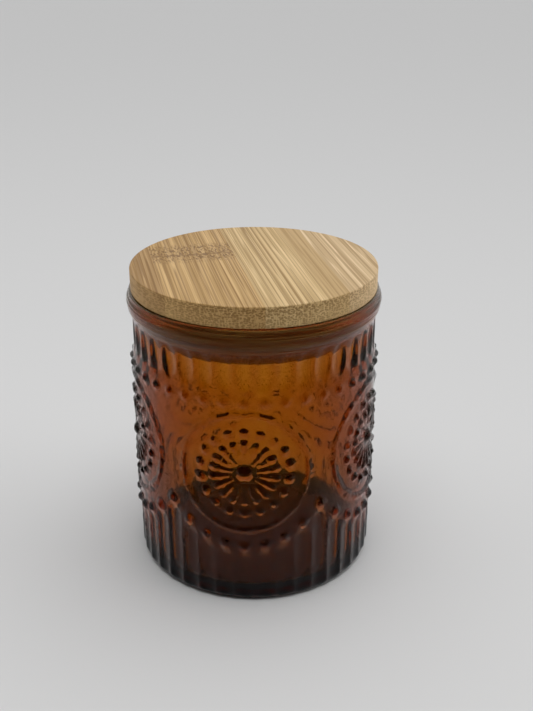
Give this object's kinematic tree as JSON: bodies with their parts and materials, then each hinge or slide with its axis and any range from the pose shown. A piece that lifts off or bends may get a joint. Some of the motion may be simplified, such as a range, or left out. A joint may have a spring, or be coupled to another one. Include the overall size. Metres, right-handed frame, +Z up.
{
  "type": "empty candle jar",
  "caption": "Empty pressed amber glass candle jar with sunburst medallion relief, and a plug lid of glued bamboo strips with a soft finned seal ring.",
  "frame": {"origin": "centre of the jar's base, on the surface it stands on", "axes": "+Z up along the jar's axis; one medallion faces -Y"},
  "size_m": [0.0812, 0.0812, 0.1006],
  "materials": {
    "amber_glass": "fire-polished pressed amber glass",
    "clear_silicone": "translucent silicone",
    "bamboo": "sanded and lightly oiled bamboo",
    "bamboo_plug": "turned bamboo, sanded"
  },
  "bodies": {
    "jar": {"glass_jar": "amber_glass"},
    "seal": {"seal_ring": "clear_silicone"},
    "lid": {"lid_strip_1": "bamboo", "lid_strip_2": "bamboo", "lid_strip_3": "bamboo", "lid_strip_4": "bamboo", "plug_strip_1": "bamboo_plug", "plug_strip_2": "bamboo_plug", "plug_strip_3": "bamboo_plug"}
  },
  "joints": [
    {"name": "lid_lift", "type": "slide", "parent": "jar", "child": "seal", "axis": [0, 0, 1], "range_m": [0, 0.1]},
    {"name": "lid_turn", "type": "hinge", "parent": "seal", "child": "lid", "pos_m": [0, 0, 0.0938], "axis": [0, 0, 1], "continuous": true}
  ]
}
